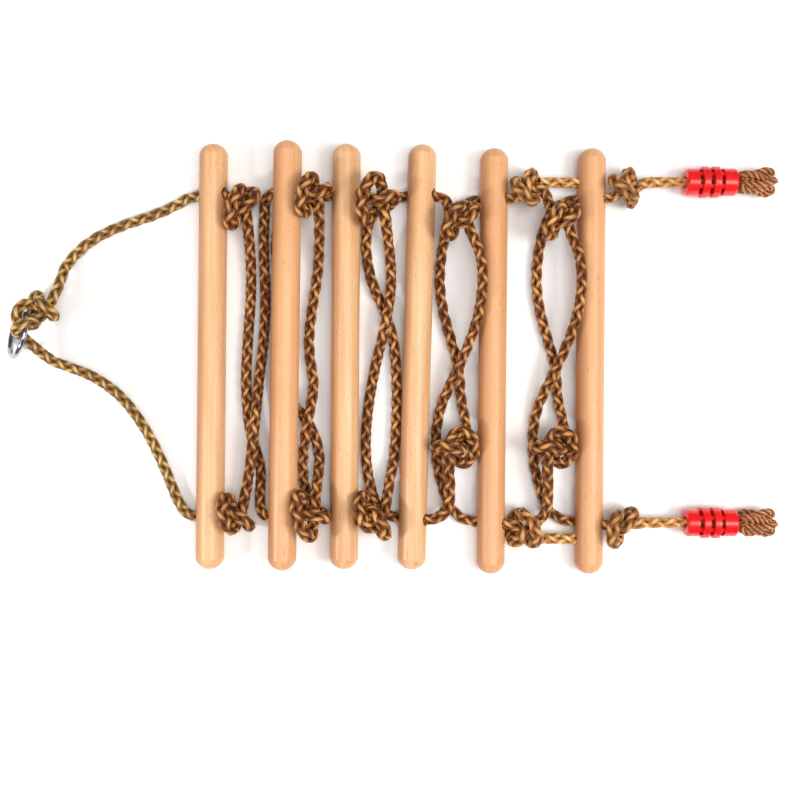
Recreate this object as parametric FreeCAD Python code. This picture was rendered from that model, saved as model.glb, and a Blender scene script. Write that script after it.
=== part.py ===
import math
import os
import FreeCAD, Part
from FreeCAD import Vector

os.makedirs("parts", exist_ok=True)

# Child's rope ladder, laid bunched up on the floor, all sizes in millimetres.
# X runs from the hanging ring to the rope ends, Y along the rungs, Z up from the floor.

# Rungs
rung_length = 425.0
rung_diameter = 28.0
rung_dome = 11.0
hole_pitch = 324.0
hole_play = 1.8
hole_slope = 18.0
socket_depth = 9.0
socket_play = 0.5
socket_from_hole = 16.0
floor_gap = 0.2

# Rope
rope_diameter = 11.0
ring_knot_rope = 9.6
rope_gap = 0.4
corner_share = 0.45

# Overhand knots: a trefoil, its lobe and radius counted in rope diameters
knot_lobe_share = 0.6355
knot_radius_share = 1.271
knot_points = 17

# Hanging ring and the turns of rope round it
ring_outer_diameter = 50.0
ring_wire_diameter = 5.5
ring_tilt = 55.0
ring_plan = -15.0
ring_x = -369.0
ring_y = 23.0
hitch_play = 0.75
hitch_from = 71.62
hitch_to = 4.69
hitch_start = 59.81
hitch_turns = 1.306
hitch_points = 14

# Stoppers on the two rope tails
stopper_length = 51.0
stopper_diameter = 31.0
stopper_core_diameter = 25.0
stopper_cap_diameter = 27.0
stopper_left_cap = 12.0
stopper_right_cap = 14.0
stopper_rib = 7.0
stopper_wall = 2.6
stopper_bore_play = 1.4
stopper_edge = 3.0
window_height = 8.7
windows_round = 6

# Woven knots at the rope ends
woven_half_length = 16.0
woven_radius = 9.2
woven_wave = 3.0
woven_pinch = 0.3
woven_strand = 6.0
woven_bights = 4
woven_leads = 1
woven_points = 96
woven_core_diameter = 4.6

# Lengthwise places
stopper_x = 294.4
end_gap = 0.5
tail_upper_y = 175.3
tail_lower_y = -164.4
tail_start = 255.0

rung_radius = rung_diameter / 2
rope_radius = rope_diameter / 2
hole_diameter = rope_diameter + hole_play
ring_radius = (ring_outer_diameter - ring_wire_diameter) / 2
on_rope = rope_diameter + 0.7
on_floor = 0.3
tail_z = stopper_diameter / 2 + on_floor
tail_end = stopper_x + stopper_length + end_gap
woven_x = tail_end + woven_half_length + woven_strand / 2 + end_gap

# Each rung: middle in X and Y, turn in plan, lift off the floor.
# The second rung lies on the slack rope that runs beneath it.
rungs = [
    (-178.0, 1.5, -0.54, 0.0),
    (-103.5, 2.0, -0.80, rope_diameter + 1.0),
    (-44.5, 1.5, -0.40, 0.0),
    (27.2, 1.0, -1.55, 0.0),
    (102.5, -3.0, -0.54, 0.0),
    (200.2, -3.0, -0.47, 0.0),
]

solids = {}


def rung_frame(number):
    x, y, turn, lift = rungs[number - 1]
    angle = math.radians(turn)
    middle = Vector(x, y, rung_radius + lift)
    along = Vector(-math.sin(angle), math.cos(angle), 0)
    across = Vector(math.cos(angle), math.sin(angle), 0)
    return middle, along, across


def hole(number, side):
    middle, along, across = rung_frame(number)
    sign = 1 if side == "upper" else -1
    slope = math.radians(hole_slope)
    axis = across * math.cos(slope) + Vector(0, 0, math.sin(slope))
    return middle + along * (sign * hole_pitch / 2), axis


def hole_point(number, side, out):
    centre, axis = hole(number, side)
    return centre + axis * out


def overhand(x, y, rest, facing, pitch, turn, cut, stretch=1.0, flip=False, thickness=rope_diameter):
    # The trefoil faces the rope that enters it and rests on the floor or on the rope below.
    # It is drawn out along the rungs by the stretch.
    lobe = knot_lobe_share * thickness
    radius = knot_radius_share * thickness
    h = math.radians(facing)
    e = math.radians(pitch)
    r = math.radians(turn)
    normal = Vector(math.cos(h) * math.cos(e), math.sin(h) * math.cos(e), math.sin(e))
    side = Vector(-math.sin(h), math.cos(h), 0)
    up = normal.cross(side)
    a = side * math.cos(r) + up * math.sin(r)
    b = up * math.cos(r) - side * math.sin(r)
    points = []
    for k in range(knot_points):
        t = cut + (2 * math.pi - 2 * cut) * k / (knot_points - 1)
        out = radius + lobe * math.cos(3 * t)
        p = a * (out * math.cos(2 * t)) + b * (out * math.sin(2 * t)) + normal * (lobe * math.sin(3 * t))
        p.y = p.y * (-stretch if flip else stretch)
        points.append(p)
    drop = min(p.z for p in points) - thickness / 2
    return [p + Vector(x, y, rest - drop) for p in points]


def ring_frame():
    tilt = math.radians(ring_tilt)
    plan = math.radians(ring_plan)
    out = Vector(math.cos(tilt) * math.cos(plan), math.cos(tilt) * math.sin(plan), math.sin(tilt))
    along = Vector(-math.sin(plan), math.cos(plan), 0)
    z = ring_radius * math.sin(tilt) + ring_wire_diameter / 2 + floor_gap
    return Vector(ring_x, ring_y, z), out, along, out.cross(along)


def hitch():
    # Turns of rope wound round the raised limb of the ring.
    centre, out, along, normal = ring_frame()
    reach = (ring_wire_diameter + rope_diameter) / 2 + hitch_play
    points = []
    for k in range(hitch_points + 1):
        share = k / hitch_points
        place = math.radians(hitch_from + (hitch_to - hitch_from) * share)
        wind = math.radians(hitch_start + 360 * hitch_turns * share)
        radial = out * math.cos(place) + along * math.sin(place)
        points.append(centre + radial * (ring_radius + reach * math.cos(wind)) + normal * (reach * math.sin(wind)))
    return points


def corner(before, point, after):
    # Arc that rounds one point of a route, as large as its two runs allow.
    u = before - point
    v = after - point
    cut = corner_share * min(u.Length, v.Length)
    u.normalize()
    v.normalize()
    half = (math.pi - u.getAngle(v)) / 2
    radius = cut / math.tan(half)
    bisector = (u + v).normalize()
    middle = point + bisector * (math.hypot(radius, cut) - radius)
    return point + u * cut, middle, point + v * cut, radius


def lay(nodes, thickness):
    # One rope, cut into named stretches half way along the runs between them.
    points = []
    owner = []
    for name, stretch in nodes:
        points += [Vector(p) for p in stretch]
        owner += [name] * len(stretch)
    last = len(points) - 1
    edges = {name: [] for name, stretch in nodes}
    radii = {name: [] for name, stretch in nodes}
    here = points[0]
    for k in range(1, last + 1):
        if owner[k] != owner[k - 1]:
            halfway = (points[k - 1] + points[k]) * 0.5
            edges[owner[k - 1]].append(Part.makeLine(here, halfway))
            here = halfway
        if k == last:
            edges[owner[k]].append(Part.makeLine(here, points[k]))
            break
        start, middle, end, radius = corner(points[k - 1], points[k], points[k + 1])
        edges[owner[k]].append(Part.makeLine(here, start))
        edges[owner[k]].append(Part.Arc(start, middle, end).toShape())
        radii[owner[k]].append(radius)
        here = end
    for name, stretch in nodes:
        solids[name] = tube(name, edges[name], thickness(name), radii[name])


def tube(name, edges, diameter, radii):
    path = Part.Wire(edges)
    first = edges[0]
    section = Part.Wire(Part.makeCircle(diameter / 2, first.valueAt(first.FirstParameter),
                                        first.tangentAt(first.FirstParameter)))
    solid = path.makePipeShell([section], True, False)
    want = math.pi * diameter ** 2 / 4 * path.Length
    tight = min(radii) if radii else 0
    print(f"{name}: length {path.Length:.0f}, tightest radius {tight:.1f}, volume {solid.Volume / want:.4f} of wanted")
    if "knot" in name or "hitch" in name:
        print(f"{name}: least gap to itself {least_gap(path.discretize(160), diameter, 2.4 * diameter):.2f}")
    return solid


def least_gap(points, diameter, apart):
    # Points nearer than this along the rope don't count, and a closed loop is followed round.
    least = 1e9
    travel = [0.0]
    for a, b in zip(points, points[1:]):
        travel.append(travel[-1] + (b - a).Length)
    closed = (points[-1] - points[0]).Length < diameter
    whole = travel[-1] + (points[-1] - points[0]).Length
    for i in range(len(points)):
        for j in range(i + 1, len(points)):
            run = travel[j] - travel[i]
            if closed:
                run = min(run, whole - run)
            if run > apart:
                least = min(least, (points[j] - points[i]).Length - diameter)
    return least


def turned_rung(number):
    middle, along, across = rung_frame(number)
    half = rung_length / 2
    shoulder = half - rung_dome
    ball = (rung_radius ** 2 + rung_dome ** 2) / (2 * rung_dome)
    bow = math.asin(rung_radius / ball) / 2
    bow_x = ball * math.sin(bow)
    bow_y = half - ball + ball * math.cos(bow)
    profile = [
        Part.makeLine(Vector(0, -half, 0), Vector(0, half, 0)),
        Part.Arc(Vector(0, half, 0), Vector(bow_x, bow_y, 0), Vector(rung_radius, shoulder, 0)).toShape(),
        Part.makeLine(Vector(rung_radius, shoulder, 0), Vector(rung_radius, -shoulder, 0)),
        Part.Arc(Vector(rung_radius, -shoulder, 0), Vector(bow_x, -bow_y, 0), Vector(0, -half, 0)).toShape(),
    ]
    body = Part.Face(Part.Wire(profile)).revolve(Vector(0, 0, 0), Vector(0, 1, 0), 360)
    body.rotate(Vector(0, 0, 0), Vector(0, 0, 1), rungs[number - 1][2])
    body.translate(middle)
    for side in ("upper", "lower"):
        centre, axis = hole(number, side)
        drill = Part.makeCylinder(hole_diameter / 2, 3 * rung_diameter, centre - axis * 1.5 * rung_diameter, axis)
        body = body.cut(drill)
    return body


def stay_line(side):
    # The pale stay lies outside the rope hole of the last rung, at the height of the rung's axis.
    middle, along, across = rung_frame(6)
    sign = 1 if side == "upper" else -1
    mouth = middle + along * (sign * (hole_pitch / 2 + socket_from_hole))
    return mouth, across


def stopper(y):
    left = stopper_x
    groove = (stopper_length - stopper_left_cap - stopper_right_cap - 2 * stopper_rib) / 3
    core = stopper_core_diameter / 2
    cap = stopper_cap_diameter / 2
    rib = stopper_diameter / 2
    bore = (rope_diameter + stopper_bore_play) / 2
    body = Part.makeCylinder(cap, stopper_left_cap, Vector(left, y, tail_z), Vector(1, 0, 0))
    rings = [edge for edge in body.Edges if edge.BoundBox.XMax < left + 0.01]
    body = body.makeFillet(stopper_edge, rings)
    right = left + stopper_length - stopper_right_cap
    end = Part.makeCylinder(cap, stopper_right_cap, Vector(right, y, tail_z), Vector(1, 0, 0))
    rings = [edge for edge in end.Edges if edge.BoundBox.XMin > right + stopper_right_cap - 0.01]
    end = end.makeFillet(stopper_edge, rings)
    middle = Part.makeCylinder(core, right - left - stopper_left_cap,
                               Vector(left + stopper_left_cap, y, tail_z), Vector(1, 0, 0))
    body = body.fuse([middle, end])
    x = left + stopper_left_cap
    windows = []
    for k in range(3):
        for n in range(windows_round):
            slot = Part.makeBox(groove, window_height, core + 1, Vector(x, y - window_height / 2, tail_z))
            slot.rotate(Vector(x, y, tail_z), Vector(1, 0, 0), 360.0 * n / windows_round)
            windows.append(slot)
        x += groove
        if k < 2:
            band = Part.makeCylinder(rib, stopper_rib, Vector(x, y, tail_z), Vector(1, 0, 0))
            rims = [edge for edge in band.Edges if edge.Curve.TypeId == "Part::GeomCircle"]
            body = body.fuse(band.makeFillet(1.2, rims))
            x += stopper_rib
    body = body.removeSplitter().cut(windows)
    hollow = Part.makeCylinder(core - stopper_wall, right - left - stopper_left_cap,
                               Vector(left + stopper_left_cap, y, tail_z), Vector(1, 0, 0))
    drill = Part.makeCylinder(bore, stopper_length + 2, Vector(left - 1, y, tail_z), Vector(1, 0, 0))
    return body.cut([hollow, drill])


def woven_knot(name, y):
    # One strand led to and fro over and under itself, all round the rope's end.
    points = []
    for k in range(woven_points):
        t = 2 * math.pi * k / woven_points
        u = math.cos(woven_bights * t)
        swell = woven_radius * math.sqrt(1 - woven_pinch * u * u)
        out = swell + woven_wave * math.sin(2 * woven_bights * t)
        points.append(Vector(woven_x + woven_half_length * u, y + out * math.cos(woven_leads * t),
                             tail_z + out * math.sin(woven_leads * t)))
    edges = []
    for k in range(woven_points):
        start, middle, end, radius = corner(points[k - 1], points[k], points[(k + 1) % woven_points])
        after = corner(points[k], points[(k + 1) % woven_points], points[(k + 2) % woven_points])[0]
        edges.append(Part.Arc(start, middle, end).toShape())
        edges.append(Part.makeLine(end, after))
    path = Part.Wire(edges)
    first = edges[0]
    section = Part.Wire(Part.makeCircle(woven_strand / 2, first.valueAt(first.FirstParameter),
                                        first.tangentAt(first.FirstParameter)))
    solid = path.makePipeShell([section], True, False)
    print(f"{name}: length {path.Length:.0f}, least gap to itself {least_gap(points, woven_strand, 3 * woven_strand):.2f}")
    return solid


# Routes of the slack rope between the rungs, chosen from the way it lies
arm_upper = [(-327, 94, 5.7), (-304, 118, 5.7), (-270, 134, 5.7), (-237, 144, 5.7), (-214, 155, 5.7)]
arm_lower = [(-326, -8, 5.7), (-298, -18, 5.7), (-269, -39, 5.7), (-244, -74, 5.7), (-226, -112, 5.7),
             (-214, -144, 5.7)]
slack_1_upper = [(-140, 108, 9), (-139.5, 68, 5.7), (-143, 20, 5.7), (-145.5, -24, 5.7), (-142.5, -67, 5.7),
                 (-136, -90, 5.7), (-129.5, -112, 5.7), (-130.5, -136, 11)]
slack_1_lower = [(-141, -120, 15), (-137.5, -94, 19), (-134, -59, 16.5), (-131.5, -22, 9), (-127, 20, 5.7),
                 (-125, 60, 5.7), (-127, 98, 5.7), (-127, 128, 7), (-126, 146, 7)]
slack_2_upper = [(-70, 115, 17), (-72.5, 86, 5.7), (-77.5, 55, 5.7), (-82, 22, 5.7), (-80.5, -2, 5.7),
                 (-76, -26, 5.7), (-78.5, -46, 14), (-82.5, -66, 19.8), (-86.5, -94, 14), (-88, -120, 5.7),
                 (-82, -144, 5.7)]
slack_2_lower = [(-72, -118, 15), (-70, -100, 5.7), (-76, -76, 5.7), (-88, -56, 5.7), (-104, -41, 5.7),
                 (-116.5, -16, 5.7), (-113, 18, 5.7), (-110, 53, 5.7), (-113, 90, 5.7), (-116.5, 120, 5.7),
                 (-108, 146, 5.7), (-88, 159, 5.7)]
slack_3_upper = [(-2, 120, 14), (1, 96, 5.7), (1.5, 72, 11), (-1, 52, 18), (-4.5, 32, 19.8), (-9.5, 12, 14),
                 (-15, -10, 5.7), (-21, -42, 5.7), (-24.5, -76, 5.7), (-24, -106, 5.7), (-19.5, -131, 5.7),
                 (-13, -150, 5.7)]
slack_3_lower = [(0, -122, 15), (4, -103, 5.7), (6, -74, 5.7), (7, -46, 5.7), (6.5, -17, 5.7), (5, 10, 5.7),
                 (0.5, 32, 5.7), (-8.5, 55, 5.7), (-17, 73, 5.7), (-22, 92, 5.7), (-24.5, 114, 5.7),
                 (-22, 138, 5.7), (-11, 156, 5.7)]
slack_4_upper = [(83, 118, 26), (90, 101, 29.5), (92, 76, 31), (89.5, 50, 30), (82, 22, 25), (70, -6, 21),
                 (59, -29, 15), (50, -52, 7), (46, -78, 5.7), (47, -104, 5.7), (53, -130, 5.7), (62, -154, 5.7)]
slack_4_lower = [(77, -72, 16.5), (74.5, -56, 8), (71, -38, 5.7), (70.5, -16, 5.7), (66, 4, 5.7), (58, 30, 5.7),
                 (51.5, 58, 5.7), (50, 84, 5.7), (52.5, 108, 5.7), (57, 130, 5.7), (66, 150, 5.7)]
last_gap_shift = Vector(97.5, 0, 0)
slack_5_upper = [Vector(p) + last_gap_shift for p in slack_4_upper]
slack_5_lower = [Vector(p) + last_gap_shift for p in slack_4_lower]
loop_x = last_gap_shift.x
ring_overhand = overhand(-345.3, 52.2, 7.6, 47.65, -46.33, 53.88, 0.75, thickness=ring_knot_rope)
hitch_lead = [(-359.2, 54, 27.9)]
hitch_leave = [(-341.4, -1.6, 11.7)]

# The upper rope, from the ring to its tail, and the lower rope
upper_rope = [
    ("arm_upper", arm_upper + [hole_point(1, "upper", -24)]),
    ("knot_1_upper", [hole_point(1, "upper", 18.3)]
     + overhand(-150.8, 149.5, on_floor, 127.76, -1.19, 319.81, 0.91, 1.48)),
    ("slack_1_upper", slack_1_upper + [hole_point(2, "lower", -24)]),
    ("knot_2_lower", [hole_point(2, "lower", 18.2)]
     + overhand(-81.2, -149.2, on_rope, 118.8, -28.7, 329.58, 0.94, 1.76, True)),
    ("slack_2_lower", slack_2_lower + [hole_point(3, "upper", -24)]),
    ("knot_3_upper", [hole_point(3, "upper", 20.0)]
     + overhand(-13.55, 148.85, on_rope, 107.06, -34.45, 307.76, 0.71, 1.89)),
    ("slack_3_upper", slack_3_upper + [hole_point(4, "lower", -24)]),
    ("knot_4_lower", [hole_point(4, "lower", 19), (51, -158, 20), (60.5, -145.3, 19.5)]
     + overhand(64.3, -92.6, on_rope, 77.63, 31.37, 283.01, 0.85, 1.47, True)),
    ("slack_4_lower", slack_4_lower + [hole_point(5, "upper", -24)]),
    ("knot_5_upper", [hole_point(5, "upper", 20.7)]
     + overhand(139.15, 163.65, on_floor, 201.07, -42.48, 350.96, 0.82, 1.08)),
    ("loop_knot_upper", [(157, 162, 20)]
     + overhand(68.6 + loop_x, 134.6, on_rope, 122.11, -6.2, 296.8, 0.90, 1.17)),
    ("slack_5_upper", slack_5_upper + [hole_point(6, "lower", -24)]),
    ("knot_6_lower", [hole_point(6, "lower", 18.1)]
     + overhand(228, -169, on_floor, 140.1, -21.97, 306.93, 0.91, 1.06)),
    ("tail_lower", [(tail_start, tail_lower_y, tail_z), (tail_end, tail_lower_y, tail_z)]),
]
lower_rope = [
    ("arm_lower", arm_lower + [hole_point(1, "lower", -24)]),
    ("knot_1_lower", [hole_point(1, "lower", 16.8)]
     + overhand(-155.1, -153.2, on_floor, 133.81, -18.71, 318.85, 0.90, 1.23, True)),
    ("slack_1_lower", slack_1_lower + [hole_point(2, "upper", -24)]),
    ("knot_2_upper", [hole_point(2, "upper", 17)]
     + overhand(-77.35, 154.2, on_rope, 127.5, -24.54, 326.69, 0.87, 1.42)),
    ("slack_2_upper", slack_2_upper + [hole_point(3, "lower", -24)]),
    ("knot_3_lower", [hole_point(3, "lower", 17.6)]
     + overhand(-17, -156, on_rope, 128.11, -9.86, 277.92, 0.74, 1.35, True)),
    ("slack_3_lower", slack_3_lower + [hole_point(4, "upper", -24)]),
    ("knot_4_upper", [hole_point(4, "upper", 26)]
     + overhand(67.1, 134.6, on_rope, 122.11, -6.2, 296.8, 0.87, 1.17)),
    ("slack_4_upper", slack_4_upper + [hole_point(5, "lower", -24)]),
    ("knot_5_lower", [hole_point(5, "lower", 21.5)]
     + overhand(132.4, -164.35, on_floor, 183.58, 43.51, 176.13, 1.04, 1.2)),
    ("loop_knot_lower", [(154, -158, 18), (158, -143.5, 19.5)]
     + overhand(64.3 + loop_x, -92.6, on_rope, 77.63, 31.37, 283.01, 0.85, 1.47, True)),
    ("slack_5_lower", slack_5_lower + [hole_point(6, "upper", -24)]),
    ("knot_6_upper", [hole_point(6, "upper", 19.7)]
     + overhand(236.65, 164.3, on_floor, 215.42, -37.31, 375.01, 0.85, 1.19)),
    ("tail_upper", [(tail_start, tail_upper_y, tail_z), (tail_end, tail_upper_y, tail_z)]),
]
ring_tie = [
    ("ring_hitch", list(reversed(hitch_leave)) + list(reversed(hitch())) + list(reversed(hitch_lead))),
    ("ring_knot", list(reversed(ring_overhand)) + [(-327, 77.5, 19)]),
]
whole_rope = [(name, list(reversed(stretch))) for name, stretch in reversed(lower_rope)]
whole_rope += ring_tie + upper_rope


def rope_thickness(name):
    return ring_knot_rope if name == "ring_knot" else rope_diameter


lay(whole_rope, rope_thickness)
for number in range(1, len(rungs) + 1):
    solids[f"rung_{number}"] = turned_rung(number)

for side in ("upper", "lower"):
    mouth, across = stay_line(side)
    depth = math.sqrt(rung_radius ** 2 - rope_radius ** 2)
    inner = mouth - across * (depth - socket_depth)
    socket = Part.makeCylinder((rope_diameter + socket_play) / 2, 3 * socket_depth, inner, across * -1)
    solids["rung_6"] = solids["rung_6"].cut(socket)
    reach = socket_depth
    near = solids[f"knot_5_{side}"]
    stay = Part.makeCylinder(rope_radius, reach, inner - across * rope_gap, across * -1)
    while stay.distToShape(near)[0] > 2 * rope_gap:
        solids[f"stay_{side}"] = stay
        reach += rope_gap
        stay = Part.makeCylinder(rope_radius, reach, inner - across * rope_gap, across * -1)

centre, out, along, normal = ring_frame()
solids["hanging_ring"] = Part.makeTorus(ring_radius, ring_wire_diameter / 2, centre, normal)

for side, y in (("upper", tail_upper_y), ("lower", tail_lower_y)):
    solids[f"stopper_{side}"] = stopper(y)
    solids[f"end_knot_{side}"] = woven_knot(f"end_knot_{side}", y)
    solids[f"end_core_{side}"] = Part.makeCylinder(woven_core_diameter / 2, 2 * woven_half_length,
                                                   Vector(tail_end + 0.05, y, tail_z), Vector(1, 0, 0))

# The origin lies on the floor under the middle of the whole ladder.
box = FreeCAD.BoundBox()
for solid in solids.values():
    for point in solid.tessellate(0.1)[0]:
        box.add(point)
shift = Vector(-box.Center.x, -box.Center.y, 0)
for name, solid in solids.items():
    solid.translate(shift)
    solid.exportStep(f"parts/{name}.step")
print(f"{len(solids)} solids, size {box.XLength:.1f} x {box.YLength:.1f} x {box.ZMax:.1f}, moved by {shift}")
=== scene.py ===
import math
import bpy
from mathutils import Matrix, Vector


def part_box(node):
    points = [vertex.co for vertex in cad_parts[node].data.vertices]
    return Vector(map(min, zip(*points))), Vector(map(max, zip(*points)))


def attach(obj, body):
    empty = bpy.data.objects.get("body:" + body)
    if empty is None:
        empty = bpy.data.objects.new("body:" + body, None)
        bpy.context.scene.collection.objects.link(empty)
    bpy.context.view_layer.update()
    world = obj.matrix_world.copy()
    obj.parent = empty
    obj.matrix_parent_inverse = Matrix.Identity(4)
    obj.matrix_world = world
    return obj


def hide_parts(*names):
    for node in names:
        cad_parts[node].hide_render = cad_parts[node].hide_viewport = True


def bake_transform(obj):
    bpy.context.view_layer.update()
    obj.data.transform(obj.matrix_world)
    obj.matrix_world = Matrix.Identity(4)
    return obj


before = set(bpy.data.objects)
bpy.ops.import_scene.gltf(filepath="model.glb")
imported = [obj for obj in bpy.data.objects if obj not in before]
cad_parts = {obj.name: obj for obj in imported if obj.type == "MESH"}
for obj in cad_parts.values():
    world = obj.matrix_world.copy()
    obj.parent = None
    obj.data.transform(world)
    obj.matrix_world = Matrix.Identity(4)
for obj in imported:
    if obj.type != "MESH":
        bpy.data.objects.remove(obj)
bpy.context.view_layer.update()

mm = 0.001
middle = Vector((0.537, 0.507, 0))  # the ladder sits on its own middle


# shader maths on sockets
class Wire:
    def __init__(self, tree, socket=None):
        self.tree = tree
        self.socket = socket

    def make(self, kind, inputs, output=0, **settings):
        node = self.tree.nodes.new(kind)
        for key, value in settings.items():
            setattr(node, key, value)
        for key, value in inputs.items():
            if isinstance(value, Wire):
                self.tree.links.new(value.socket, node.inputs[key])
            else:
                node.inputs[key].default_value = value
        return Wire(self.tree, node.outputs[output])

    def calc(self, operation, a, b=0.0):
        return self.make("ShaderNodeMath", {0: a, 1: b}, operation=operation)

    def __add__(self, other):
        return self.calc("ADD", self, other)

    def __radd__(self, other):
        return self.calc("ADD", other, self)

    def __sub__(self, other):
        return self.calc("SUBTRACT", self, other)

    def __rsub__(self, other):
        return self.calc("SUBTRACT", other, self)

    def __mul__(self, other):
        return self.calc("MULTIPLY", self, other)

    def __rmul__(self, other):
        return self.calc("MULTIPLY", other, self)

    def __truediv__(self, other):
        return self.calc("DIVIDE", self, other)


def colour(r, g, b):
    # colours are noted as they look on screen, 0 to 255
    def linear(c):
        c = c / 255
        return c / 12.92 if c < 0.04045 else ((c + 0.055) / 1.055) ** 2.4
    return (linear(r), linear(g), linear(b), 1.0)


def newMaterial(name, constants):
    mat = bpy.data.materials.new(name)
    mat.use_nodes = True
    shader = mat.node_tree.nodes["Principled BSDF"]
    for key, value in constants.items():
        shader.inputs[key].default_value = value
    return mat, Wire(mat.node_tree), shader


def feed(wire, shader, name):
    wire.tree.links.new(wire.socket, shader.inputs[name])


def blendColours(root, share, a, b):
    return root.make("ShaderNodeMix", {0: share, 6: a, 7: b}, output=2, data_type="RGBA")


def soften(root, value, low, high):
    return root.make("ShaderNodeMapRange", {0: value, 1: low, 2: high, 3: 0.0, 4: 1.0})


def noise(root, place, scale, detail=3.0):
    return root.make("ShaderNodeTexNoise", {"Vector": place, "Scale": scale, "Detail": detail})


def stretched(root, x, y, z):
    return root.make("ShaderNodeCombineXYZ", {0: x, 1: y, 2: z})


def objectPlace(root):
    place = root.make("ShaderNodeTexCoord", {}, output="Object")
    parts = [root.make("ShaderNodeSeparateXYZ", {0: place}, output=k) for k in range(3)]
    return place, parts


def bumps(root, shader, height, strength, depth):
    bump = root.make("ShaderNodeBump", {"Strength": strength, "Distance": depth, "Height": height})
    feed(bump, shader, "Normal")


# shades: a painted crevice shade, the strand's own colour and a painted highlight; body and lit are their
# masks
def strandColour(root, body, lit, shades):
    creviceShade, strand, glint = shades
    return blendColours(root, lit, blendColours(root, body, creviceShade, strand), glint)


# in each look, golden and pale list a painted crevice shade, the rope's own colour and a painted highlight
ropeLook = {
    "golden": [colour(10, 3, 1), colour(104, 55, 19), colour(236, 170, 98)],
    "pale": [colour(66, 32, 9), colour(186, 126, 64), colour(255, 216, 146)],
    "yarns": 6, "yarnLean": 0.7, "roughness": 0.34,
}
bridleLook = {
    "golden": [colour(20, 11, 2), colour(120, 84, 36), colour(236, 196, 124)],
    "yarns": 6, "yarnLean": 0.7, "roughness": 0.34,
}
endLook = {
    "golden": [colour(34, 12, 5), colour(142, 80, 42), colour(234, 172, 118)],
    "yarns": 4, "yarnLean": 1.6, "roughness": 0.34,
}


def ropeMaterial(name, look):
    # tone goes from golden rope to pale, crown is 1 where a strand lies on top; outer and crown paint shade
    # into the crevices and where a strand dives, and a painted highlight on top
    mat, root, shader = newMaterial(name, {"Specular IOR Level": 0.3})
    flat = root.make("ShaderNodeUVMap", {}, uv_map="strand")
    around = root.make("ShaderNodeSeparateXYZ", {0: flat}, output=0)
    along = root.make("ShaderNodeSeparateXYZ", {0: flat}, output=1)
    tone = root.make("ShaderNodeAttribute", {}, output="Fac", attribute_name="tone")
    crown = root.make("ShaderNodeAttribute", {}, output="Fac", attribute_name="crown")
    lane = around + along * look["yarnLean"]
    ridge = root.calc("SINE", lane * (2 * math.pi * look["yarns"])) * 0.5 + 0.5
    fibre = noise(root, stretched(root, lane * 34, along * 5, tone), 1.0, 4)
    patch = noise(root, objectPlace(root)[0], 55, 2)
    outer = root.calc("COSINE", around * (2 * math.pi)) * 0.5 + 0.5
    # body masks a painted shade on the strands' inner side and where a strand dives; lit masks a painted
    # highlight on their outer side and crowns, broken into glints by patch
    shade = outer * 0.65 + crown * 0.35 + fibre * 0.35
    lit = soften(root, shade + patch * 0.45 + ridge * 0.08, 1.2, 1.52)
    body = soften(root, shade, 0.4, 0.8)
    golden = strandColour(root, body, lit, look["golden"])
    pale = strandColour(root, body, lit, look.get("pale", look["golden"]))
    feed(blendColours(root, tone, golden, pale), shader, "Base Color")
    feed(fibre * 0.25 + look["roughness"] - ridge * 0.06, shader, "Roughness")
    bumps(root, shader, ridge * 0.6 + fibre * 0.5, 0.55, 0.0007)
    return mat


# rungs: middle in x and y, turn in plan, lift, all in millimetres and degrees
rungs = [(-178.0, 1.5, -0.54, 0.0), (-103.5, 2.0, -0.80, 12.0), (-44.5, 1.5, -0.40, 0.0),
         (27.2, 1.0, -1.55, 0.0), (102.5, -3.0, -0.54, 0.0), (200.2, -3.0, -0.47, 0.0)]
rungRadius = 14.0
# in woodLook the darkest colour, colour(170, 106, 64), is a painted shade for the -x flank of each rung
woodLook = {
    "light": colour(236, 190, 142), "deep": colour(220, 164, 114), "blush": colour(220, 156, 104),
    "fleck": colour(178, 118, 72), "flankShade": colour(170, 106, 64), "roughness": 0.42,
    "warmth": [0.1, 0.5, 0.05, 0, 0.65, 0.45], "seedStep": 3.7,  # warmth is each rung's share of blush
}


def woodMaterial(name, look, number):
    mat, root, shader = newMaterial(name, {"Specular IOR Level": 0.4, "Coat Weight": 0.12,
                                           "Coat Roughness": 0.3})
    rung, warmth, seed = rungs[number - 1], look["warmth"][number - 1], number * look["seedStep"]
    x, y, z = objectPlace(root)[1]
    streak = noise(root, stretched(root, x * 260 + seed, y * 9, z * 260), 1.0, 5)
    cloud = noise(root, stretched(root, x * 26 + seed, y * 7, z * 26 + seed), 1.0, 2)
    fleck = noise(root, stretched(root, x * 900, y * 130 + seed, z * 900), 1.0, 1)
    tone = blendColours(root, soften(root, streak, 0.35, 0.7), look["light"], look["deep"])
    tone = blendColours(root, soften(root, cloud, 0.45, 0.8) * 0.35 + warmth, tone, look["blush"])
    tone = blendColours(root, soften(root, fleck, 0.63, 0.76) * 0.55, tone, look["fleck"])
    middleX = (rung[0] + middle.x) * mm  # painted shade: the -x flank of each rung is painted darker, its edge broken by the cloud
    flank = (middleX - y * math.tan(math.radians(rung[2])) - x) / (rungRadius * mm)
    tone = blendColours(root, soften(root, flank + cloud * 0.5, 0.5, 1.3) * 0.9, tone, look["flankShade"])
    feed(tone, shader, "Base Color")
    feed(streak * 0.18 + look["roughness"] - 0.09, shader, "Roughness")
    bumps(root, shader, streak * 0.5 - fleck * 0.3, 0.12, 0.0004)
    return mat


plasticLook = {"dull": colour(216, 10, 14), "bright": colour(238, 22, 24), "roughness": 0.2}


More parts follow.
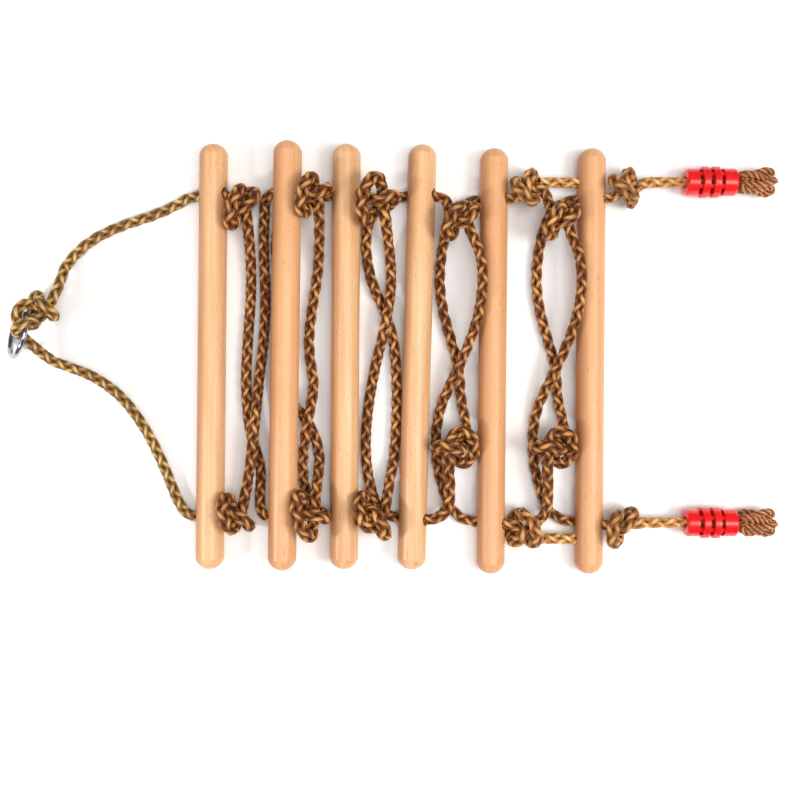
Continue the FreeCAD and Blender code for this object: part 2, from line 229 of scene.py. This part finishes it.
def plasticMaterial(name, look):
    mat, root, shader = newMaterial(name, {"Specular IOR Level": 0.5, "Coat Weight": 0.3,
                                           "Coat Roughness": 0.12})
    mottle = noise(root, objectPlace(root)[0], 90, 3)
    feed(blendColours(root, mottle, look["dull"], look["bright"]), shader, "Base Color")
    feed(mottle * 0.12 + look["roughness"], shader, "Roughness")
    bumps(root, shader, mottle, 0.06, 0.0004)
    return mat


steelLook = {"dull": colour(150, 154, 170), "bright": colour(186, 190, 202), "roughness": 0.08}


def steelMaterial(name, look):
    mat, root, shader = newMaterial(name, {})
    scuff = noise(root, objectPlace(root)[0], 140, 4)
    feed(blendColours(root, scuff, look["dull"], look["bright"]), shader, "Base Color")
    feed(soften(root, scuff, 0.1, 0.9) * 0.1 + 0.9, shader, "Metallic")
    feed(scuff * 0.16 + look["roughness"], shader, "Roughness")
    bumps(root, shader, scuff, 0.05, 0.0003)
    return mat


def floorMaterial(name):
    mat, root, shader = newMaterial(name, {"Roughness": 0.9, "Specular IOR Level": 0.1})
    cloud = noise(root, objectPlace(root)[0], 4, 2)
    feed(blendColours(root, cloud, colour(252, 252, 252), colour(255, 255, 255)), shader, "Base Color")
    return mat


def dress(node, mat):
    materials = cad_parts[node].data.materials
    materials.clear()
    materials.append(mat)


print("materials")
ropeMat = ropeMaterial("ropeFibre", ropeLook)
endMat = ropeMaterial("endFibre", endLook)
bridleMat = ropeMaterial("bridleFibre", bridleLook)
redMat = plasticMaterial("stopperRed", plasticLook)
for number in range(1, len(rungs) + 1):
    dress(f"rung_{number}", woodMaterial(f"beech{number}", woodLook, number))
dress("stopper_upper", redMat)
dress("stopper_lower", redMat)
dress("hanging_ring", steelMaterial("ringSteel", steelLook))

# the rope's route, in millimetres, as the solids have it; a drawn knot's rope is a little plumper
rope = {"diameter": 11.0, "drawn": 12.4, "ringKnot": 9.6, "ringDrawn": 11.2, "lay": 48.0,
        "holePitch": 324.0, "holeSlope": 18.0, "onRope": 11.7, "onFloor": 0.3,
        "lobeShare": 0.6355, "radiusShare": 1.271, "knotPoints": 17}
holeLead = {"start": -3.0, "before": -24.0, "inside": -4.0}  # where the rope's points lie along a rung's hole


def holePoint(number, side, out):
    x, y, turn, lift = rungs[number - 1]
    angle = math.radians(turn)
    slope = math.radians(rope["holeSlope"])
    sign = 1 if side == "upper" else -1
    spot = Vector((x, y, rungRadius + lift))
    spot += Vector((-math.sin(angle), math.cos(angle), 0)) * (sign * rope["holePitch"] / 2)
    axis = Vector((math.cos(angle) * math.cos(slope), math.sin(angle) * math.cos(slope), math.sin(slope)))
    return spot + axis * out


def overhand(x, y, rest, facing, pitch, turn, cut, stretch=1.0, thickness=rope["diameter"]):
    # an overhand knot, cut open where its two ends leave; a negative stretch mirrors it
    lobe, radius = rope["lobeShare"] * thickness, rope["radiusShare"] * thickness
    h, e, r = math.radians(facing), math.radians(pitch), math.radians(turn)
    normal = Vector((math.cos(h) * math.cos(e), math.sin(h) * math.cos(e), math.sin(e)))
    side = Vector((-math.sin(h), math.cos(h), 0))
    up = normal.cross(side)
    a = side * math.cos(r) + up * math.sin(r)
    b = up * math.cos(r) - side * math.sin(r)
    points = []
    for k in range(rope["knotPoints"]):
        t = cut + (2 * math.pi - 2 * cut) * k / (rope["knotPoints"] - 1)
        out = radius + lobe * math.cos(3 * t)
        p = a * (out * math.cos(2 * t)) + b * (out * math.sin(2 * t)) + normal * (lobe * math.sin(3 * t))
        p.y *= stretch
        points.append(p)
    drop = min(p.z for p in points) - thickness / 2
    return [p + Vector((x, y, rest - drop)) for p in points]


ring = {"radius": 22.25, "wire": 5.5, "tilt": 55.0, "plan": -15.0, "x": -369.0, "y": 23.0, "play": 0.75,
        "from": 71.62, "to": 4.69, "start": 59.81, "turns": 1.306, "points": 14, "lift": 0.2}


def hitch():
    tilt, plan = math.radians(ring["tilt"]), math.radians(ring["plan"])
    out = Vector((math.cos(tilt) * math.cos(plan), math.cos(tilt) * math.sin(plan), math.sin(tilt)))
    along = Vector((-math.sin(plan), math.cos(plan), 0))
    normal = out.cross(along)
    centre = Vector((ring["x"], ring["y"], ring["radius"] * math.sin(tilt) + ring["wire"] / 2 + ring["lift"]))
    reach = (ring["wire"] + rope["diameter"]) / 2 + ring["play"]
    points = []
    for k in range(ring["points"] + 1):
        share = k / ring["points"]
        place = math.radians(ring["from"] + (ring["to"] - ring["from"]) * share)
        wind = math.radians(ring["start"] + 360 * ring["turns"] * share)
        radial = out * math.cos(place) + along * math.sin(place)
        middleOut = ring["radius"] + reach * math.cos(wind)
        points.append(centre + radial * middleOut + normal * (reach * math.sin(wind)))
    return points


armUpper = [(-327, 94, 5.7), (-304, 118, 5.7), (-270, 134, 5.7), (-237, 144, 5.7), (-214, 155, 5.7)]
armLower = [(-326, -8, 5.7), (-298, -18, 5.7), (-269, -39, 5.7), (-244, -74, 5.7), (-226, -112, 5.7),
            (-214, -144, 5.7)]
slack = {
    "1upper": [(-140, 108, 9), (-139.5, 68, 5.7), (-143, 20, 5.7), (-145.5, -24, 5.7), (-142.5, -67, 5.7),
               (-136, -90, 5.7), (-129.5, -112, 5.7), (-130.5, -136, 11)],
    "1lower": [(-141, -120, 15), (-137.5, -94, 19), (-134, -59, 16.5), (-131.5, -22, 9), (-127, 20, 5.7),
               (-125, 60, 5.7), (-127, 98, 5.7), (-127, 128, 7), (-126, 146, 7)],
    "2upper": [(-70, 115, 17), (-72.5, 86, 5.7), (-77.5, 55, 5.7), (-82, 22, 5.7), (-80.5, -2, 5.7),
               (-76, -26, 5.7), (-78.5, -46, 14), (-82.5, -66, 19.8), (-86.5, -94, 14), (-88, -120, 5.7),
               (-82, -144, 5.7)],
    "2lower": [(-72, -118, 15), (-70, -100, 5.7), (-76, -76, 5.7), (-88, -56, 5.7), (-104, -41, 5.7),
               (-116.5, -16, 5.7), (-113, 18, 5.7), (-110, 53, 5.7), (-113, 90, 5.7), (-116.5, 120, 5.7),
               (-108, 146, 5.7), (-88, 159, 5.7)],
    "3upper": [(-2, 120, 14), (1, 96, 5.7), (1.5, 72, 11), (-1, 52, 18), (-4.5, 32, 19.8), (-9.5, 12, 14),
               (-15, -10, 5.7), (-21, -42, 5.7), (-24.5, -76, 5.7), (-24, -106, 5.7), (-19.5, -131, 5.7),
               (-13, -150, 5.7)],
    "3lower": [(0, -122, 15), (4, -103, 5.7), (6, -74, 5.7), (7, -46, 5.7), (6.5, -17, 5.7), (5, 10, 5.7),
               (0.5, 32, 5.7), (-8.5, 55, 5.7), (-17, 73, 5.7), (-22, 92, 5.7), (-24.5, 114, 5.7),
               (-22, 138, 5.7), (-11, 156, 5.7)],
    "4upper": [(83, 118, 26), (90, 101, 29.5), (92, 76, 31), (89.5, 50, 30), (82, 22, 25), (70, -6, 21),
               (59, -29, 15), (50, -52, 7), (46, -78, 5.7), (47, -104, 5.7), (53, -130, 5.7),
               (62, -154, 5.7)],
    "4lower": [(77, -72, 16.5), (74.5, -56, 8), (71, -38, 5.7), (70.5, -16, 5.7), (66, 4, 5.7), (58, 30, 5.7),
               (51.5, 58, 5.7), (50, 84, 5.7), (52.5, 108, 5.7), (57, 130, 5.7), (66, 150, 5.7)],
}
lastGap = 97.5  # the last gap repeats the one before it
for side in ("upper", "lower"):
    slack["5" + side] = [(x + lastGap, y, z) for x, y, z in slack["4" + side]]


def stopKnot(number, side, lead, *form):
    return [holePoint(number, side, lead)] + overhand(*form)


# each knot: rung, side, lead out of the hole, then overhand's own values
onFloor, onRope = rope["onFloor"], rope["onRope"]
knots = {
    "1upper": stopKnot(1, "upper", 18.3, -150.8, 149.5, onFloor, 127.76, -1.19, 319.81, 0.91, 1.48),
    "1lower": stopKnot(1, "lower", 16.8, -155.1, -153.2, onFloor, 133.81, -18.71, 318.85, 0.90, -1.23),
    "2upper": stopKnot(2, "upper", 17, -77.35, 154.2, onRope, 127.5, -24.54, 326.69, 0.87, 1.42),
    "2lower": stopKnot(2, "lower", 18.2, -81.2, -149.2, onRope, 118.8, -28.7, 329.58, 0.94, -1.76),
    "3upper": stopKnot(3, "upper", 20, -13.55, 148.85, onRope, 107.06, -34.45, 307.76, 0.71, 1.89),
    "3lower": stopKnot(3, "lower", 17.6, -17, -156, onRope, 128.11, -9.86, 277.92, 0.74, -1.35),
    "4upper": stopKnot(4, "upper", 26, 67.1, 134.6, onRope, 122.11, -6.2, 296.8, 0.87, 1.17),
    "4lower": [holePoint(4, "lower", 19), (51, -158, 20), (60.5, -145.3, 19.5)]
    + overhand(64.3, -92.6, onRope, 77.63, 31.37, 283.01, 0.85, -1.47),
    "5upper": stopKnot(5, "upper", 20.7, 139.15, 163.65, onFloor, 201.07, -42.48, 350.96, 0.82, 1.08),
    "5lower": stopKnot(5, "lower", 21.5, 132.4, -164.35, onFloor, 183.58, 43.51, 176.13, 1.04, 1.2),
    "6upper": stopKnot(6, "upper", 19.7, 236.65, 164.3, onFloor, 215.42, -37.31, 375.01, 0.85, 1.19),
    "6lower": stopKnot(6, "lower", 18.1, 228, -169, onFloor, 140.1, -21.97, 306.93, 0.91, 1.06),
    "loopUpper": [(157, 162, 20)] + overhand(166.1, 134.6, onRope, 122.11, -6.2, 296.8, 0.90, 1.17),
    "loopLower": [(154, -158, 18), (158, -143.5, 19.5)]
    + overhand(161.8, -92.6, onRope, 77.63, 31.37, 283.01, 0.85, -1.47),
    "ring": overhand(-345.3, 52.2, 7.6, 47.65, -46.33, 53.88, 0.75, 1.0, rope["ringKnot"]),
}
tails = {"along": [255.0, 267.0, 345.9], "upper": 175.3, "lower": -164.4, "z": 15.8}


# one smooth line through a route, read back as points
def splineLine(name, points, between, closed=False):
    curve = bpy.data.curves.new(name + "Line", "CURVE")
    curve.dimensions = "3D"
    curve.resolution_u = between
    spline = curve.splines.new("NURBS")
    spline.points.add(len(points) - 1)
    for slot, point in zip(spline.points, points):
        slot.co = ((Vector(point) + middle) * mm).to_4d()
    if closed:
        spline.use_cyclic_u = True
    else:
        spline.use_endpoint_u = True
    spline.order_u = 3
    holder = bpy.data.objects.new(name + "Line", curve)
    bpy.context.scene.collection.objects.link(holder)
    mesh = bpy.data.meshes.new_from_object(holder.evaluated_get(bpy.context.evaluated_depsgraph_get()))
    line = [v.co.copy() for v in mesh.vertices]
    bpy.data.objects.remove(holder)
    bpy.data.curves.remove(curve)
    bpy.data.meshes.remove(mesh)
    return line


def spread(values, count):
    # values at the route's points, read along the finished line
    result = []
    last = len(values) - 1
    for k in range(count):
        place = k / max(count - 1, 1) * (last - 1) + 0.5
        low = min(int(place), last - 1)
        result.append(values[low] + (values[low + 1] - values[low]) * min(place - low, 1))
    return result


def followLine(line, closed):
    # the line's directions, a side direction that doesn't twist, and the length so far
    count = len(line)
    tangents, normals, steps = [], [], [0.0]
    for k in range(count):
        before = line[k - 1] if closed or k else line[k]
        after = line[(k + 1) % count] if closed or k < count - 1 else line[k]
        tangents.append((after - before).normalized())
    normal = tangents[0].orthogonal().normalized()
    for t in tangents:
        normal = (normal - t * normal.dot(t)).normalized()
        normals.append(normal.copy())
    for a, b in zip(line, line[1:]):
        steps.append(steps[-1] + (b - a).length)
    return tangents, normals, steps


def strandObject(name, verts, faces, uvs, marks):
    mesh = bpy.data.meshes.new(name)
    mesh.from_pydata(verts, [], faces)
    layer = mesh.uv_layers.new(name="strand")
    for slot, uv in zip(layer.data, uvs):
        slot.uv = uv
    for mark, values in marks.items():
        mesh.attributes.new(mark, "FLOAT", "POINT").data.foreach_set("value", values)
    mesh.shade_smooth()
    piece = bpy.data.objects.new(name, mesh)
    bpy.context.scene.collection.objects.link(piece)
    return piece


def strandMesh(name, line, widths, tones, spec, closed=False):
    # strands laid round the line: all one way in a twist, over and under each other in a braid
    count, sides, strands = len(line), spec["sides"], spec["strands"]
    tangents, normals, steps = followLine(line, closed)
    total = steps[-1] + ((line[0] - line[-1]).length if closed else 0)
    lay, drift = spec["lay"] * mm, 0.0
    if closed:  # the twist meets itself
        turned = (normals[-1] - tangents[0] * normals[-1].dot(tangents[0])).normalized()
        drift = math.atan2(tangents[0].dot(normals[0].cross(turned)), normals[0].dot(turned))
        lay = total / max(1, round(total / lay))
    verts, faces, uvs, tone, crown = [], [], [], [], []
    for strand in range(strands):
        base = len(verts)
        hand = -1 if spec["wave"] and strand % 2 else 1  # in a braid every other strand runs the other way
        for k in range(count):
            binormal = tangents[k].cross(normals[k])
            angle = 2 * math.pi * steps[k] / lay
            turn = hand * angle + 2 * math.pi * strand / strands - drift * steps[k] / total
            over = hand * math.sin(strands / 2 * angle)
            out = spec["offset"] + spec["wave"] * over
            radius = widths[k] / 2 * mm
            for j in range(sides):
                a = 2 * math.pi * j / sides
                x = out * math.cos(turn) + spec["thick"] * math.cos(turn + a)
                y = out * math.sin(turn) + spec["thick"] * math.sin(turn + a)
                verts.append(line[k] + (normals[k] * x + binormal * y) * radius)
                tone.append(tones[k])
                # crown: 1 where a strand lies on top; the rope material paints a highlight there and shade
                # where the strand dives
                crown.append(over * 0.5 + 0.5 if spec["wave"] else spec["crown"])
        for k in range(count if closed else count - 1):
            ahead = (k + 1) % count
            here, there = base + k * sides, base + ahead * sides
            v0 = steps[k] / lay
            v1 = steps[ahead] / lay if ahead else total / lay
            for j in range(sides):
                side = (j + 1) % sides
                faces.append((here + j, here + side, there + side, there + j))
                uvs += [(j / sides, v0), ((j + 1) / sides, v0), ((j + 1) / sides, v1), (j / sides, v1)]
        if not closed:
            for k, order in ((0, -1), (count - 1, 1)):
                faces.append([base + k * sides + j for j in range(sides)][::order])
                uvs += [(0.5, steps[k] / lay)] * sides
    return strandObject(name, verts, faces, uvs, {"tone": tone, "crown": crown})


braid = {"strands": 6, "offset": 0.5, "thick": 0.47, "wave": 0.06, "sides": 10, "lay": rope["lay"]}
# a twist has no over and under, so its crown is one fixed level of painted shade and highlight
twist = {"strands": 3, "offset": 0.44, "thick": 0.56, "wave": 0, "sides": 10, "lay": 19, "crown": 0.75}
detail = {"rope": 12, "short": 14, "woven": 4}  # points between two points of a route
toneOf = {"golden": 0.0, "loopLead": 0.15, "knot": 0.25, "pale": 1.0}


def layRope(name, stretches, nodes, bodies, look=ropeMat):
    # stretches: points, width and tone of each
    points, widths, tones = [], [], []
    for part, width, shade in stretches:
        points += part
        widths += [width] * len(part)
        tones += [shade] * len(part)
    line = splineLine(name, points, detail["rope"])
    piece = strandMesh(name, line, spread(widths, len(line)), spread(tones, len(line)), braid)
    piece.data.materials.append(look)
    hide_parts(*nodes)
    "golden_rope" if stretches[-1][2] < 0.5 else "pale_rope"
    if len(bodies) == 2:
        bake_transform(piece)
    else:
        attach(piece, bodies[0])


def settle(piece, mat, node):
    piece.data.materials.append(mat)
    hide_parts(node)
    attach(piece, "fifth_rung")


def atHole(number, side, *leads):
    return [holePoint(number, side, holeLead[lead]) for lead in leads]


print("ropes between the rungs")
bodies = ["ladder", "second_rung", "third_rung", "fourth_rung", "fifth_rung"]
other = {"upper": "lower", "lower": "upper"}
thick, drawn = rope["diameter"], rope["drawn"]
for number in range(1, len(bodies)):
    for side in ("upper", "lower"):
        key = f"{number}{side}"
        onward = atHole(number + 1, other[side], "before", "inside")
        stretches = [(atHole(number, side, "start") + knots[key][:1], thick, toneOf["golden"]),
                     (knots[key][1:], drawn, toneOf["golden"]),
                     (slack[key] + onward, thick, toneOf["golden"])]
        layRope(f"rope{number}{side.capitalize()}", stretches,
                [f"knot_{number}_{side}", f"slack_{number}_{side}"], bodies[number - 1:number + 1])

print("last gap and tails")
for side in ("upper", "lower"):
    loop = "loop" + side.capitalize()
    lead = 1 if side == "upper" else 2  # points before the loop's own knot
    onward = atHole(6, other[side], "before", "inside")
    key = "5" + side
    stretches = [(atHole(5, side, "start") + knots[key][:1], thick, toneOf["knot"]),
                 (knots[key][1:], drawn, toneOf["knot"]),
                 (knots[loop][:lead], thick, toneOf["loopLead"]),
                 (knots[loop][lead:], drawn, toneOf["golden"]),
                 (slack[key] + onward, thick, toneOf["golden"])]
    layRope("rope5" + side.capitalize(), stretches,
            [f"knot_5_{side}", f"loop_knot_{side}", f"slack_5_{side}"], ["fifth_rung"])
    key = "6" + side
    tail = [(x, tails[side], tails["z"]) for x in tails["along"]]
    stretches = [(atHole(6, side, "start") + knots[key][:1], thick, toneOf["knot"]),
                 (knots[key][1:], drawn, toneOf["knot"]), (tail, thick, toneOf["pale"])]
    layRope("rope6" + side.capitalize(), stretches, [f"knot_6_{side}", f"tail_{side}"], ["fifth_rung"])

print("bridle")
toRing, fromHitch, fromKnot = (-341.4, -1.6, 11.7), (-359.2, 54, 27.9), (-327, 77.5, 19)
lower = atHole(1, "lower", "start", "before") + armLower[::-1] + [toRing] + hitch()[::-1] + [fromHitch]
upper = [fromKnot] + armUpper + atHole(1, "upper", "before", "start")
stretches = [(lower, thick, toneOf["golden"]), (knots["ring"][::-1], rope["ringDrawn"], toneOf["golden"]),
             (upper, thick, toneOf["golden"])]
layRope("ropeBridle", stretches, ["arm_lower", "ring_hitch", "ring_knot", "arm_upper"], ["bridle", "ladder"],
        look=bridleMat)

print("stays")
stay = {"intoKnot": 5.0, "bowAt": 0.4, "aside": 0.3, "rise": 0.2}
for side in ("upper", "lower"):
    low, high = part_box(f"stay_{side}")
    y = (low[1] + high[1]) / 2 / mm - middle.y
    z = (low[2] + high[2]) / 2 / mm
    x0 = low[0] / mm - middle.x - stay["intoKnot"]  # its start is lost in the knot
    x1 = high[0] / mm - middle.x
    route = [(x0, y, z), (x0 + (x1 - x0) * stay["bowAt"], y + stay["aside"], z + stay["rise"]), (x1, y, z)]
    line = splineLine("stay" + side, route, detail["short"])
    widths, tones = [thick] * len(line), [toneOf["pale"]] * len(line)
    piece = strandMesh("stay" + side.capitalize(), line, widths, tones, braid)
    settle(piece, ropeMat, f"stay_{side}")

print("woven end knots")
woven = {"half": 16.0, "radius": 9.2, "wave": 3.0, "pinch": 0.3, "strand": 7.2, "bights": 4, "leads": 1,
         "points": 96, "x": 365.4}
core = {"end": 4.6, "swell": 9.4, "aside": 0.2}
for side in ("upper", "lower"):
    route = []
    for k in range(woven["points"]):
        t = 2 * math.pi * k / woven["points"]
        u = math.cos(woven["bights"] * t)
        out = woven["radius"] * math.sqrt(1 - woven["pinch"] * u * u)
        out += woven["wave"] * math.sin(2 * woven["bights"] * t)
        route.append((woven["x"] + woven["half"] * u, tails[side] + out * math.cos(woven["leads"] * t),
                      tails["z"] + out * math.sin(woven["leads"] * t)))
    line = splineLine("endKnot" + side, route, detail["woven"], True)
    widths, tones = [woven["strand"]] * len(line), [toneOf["golden"]] * len(line)
    piece = strandMesh("endKnot" + side.capitalize(), line, widths, tones, twist, True)
    settle(piece, endMat, f"end_knot_{side}")
    low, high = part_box(f"end_core_{side}")
    x0, x1 = low[0] / mm - middle.x, high[0] / mm - middle.x
    route = [(x0, tails[side], tails["z"]), ((x0 + x1) / 2, tails[side] + core["aside"], tails["z"]),
             (x1, tails[side], tails["z"])]
    line = splineLine("endCore" + side, route, detail["short"])
    widths = [core["end"] + core["swell"] * math.sin(math.pi * k / (len(line) - 1)) for k in range(len(line))]
    piece = strandMesh("endCore" + side.capitalize(), line, widths, [toneOf["golden"]] * len(line), twist)
    settle(piece, endMat, f"end_core_{side}")

print("stage")
ground = {"size": 12, "drop": 0.0004}
bpy.ops.object.select_all(action="DESELECT")
bpy.ops.mesh.primitive_plane_add(size=ground["size"], location=(0, 0, -ground["drop"]))
floor = bpy.context.active_object
floor.name = "floor"
floor.data.materials.append(floorMaterial("floorWhite"))

studio = {"strength": 0.5, "soft": (0.9, 0.88, 0.86, 1), "mirrored": (0.2, 0.21, 0.25, 1),
          "seen": (2, 2, 2, 1)}
world = bpy.data.worlds.new("studio")
bpy.context.scene.world = world
world.use_nodes = True
sky = Wire(world.node_tree)
seen = sky.make("ShaderNodeLightPath", {}, output="Is Camera Ray")
mirrored = sky.make("ShaderNodeLightPath", {}, output="Is Glossy Ray")
tint = blendColours(sky, mirrored, studio["soft"], studio["mirrored"])
tint = blendColours(sky, seen, tint, studio["seen"])
back = world.node_tree.nodes["Background"]
world.node_tree.links.new(tint.socket, back.inputs["Color"])
back.inputs["Strength"].default_value = studio["strength"]


def lamp(name, place, target, size, power, warmth=(1, 1, 1)):
    light = bpy.data.lights.new(name, "AREA")
    light.shape = "DISK"
    light.size = size
    light.energy = power
    light.color = warmth
    holder = bpy.data.objects.new(name, light)
    bpy.context.scene.collection.objects.link(holder)
    holder.location = place
    holder.rotation_euler = (Vector(target) - Vector(place)).to_track_quat("-Z", "Y").to_euler()


lamp("keyRight", (1.4, -0.3, 1.8), (0, 0, 0), 0.9, 25, (1, 0.98, 0.95))
lamp("softLeft", (-1.8, -0.4, 1.9), (0, 0, 0), 1.6, 7)
lamp("ringSide", (-0.8, -0.3, 0.55), (-0.34, 0.03, 0), 0.1, 3)
lamp("overhead", (0.4, -0.1, 2.4), (0, 0, 0), 1.4, 22)

view = {"lens": 45, "sensor": 36, "near": 0.01, "place": (0.01073, -0.041493, 1.014)}
eye = bpy.data.cameras.new("camera")
eye.lens = view["lens"]
eye.sensor_width = view["sensor"]
eye.clip_start = view["near"]
camera = bpy.data.objects.new("camera", eye)
camera.location = view["place"]
bpy.context.scene.collection.objects.link(camera)
bpy.context.scene.camera = camera
bpy.context.scene.view_settings.view_transform = "Standard"
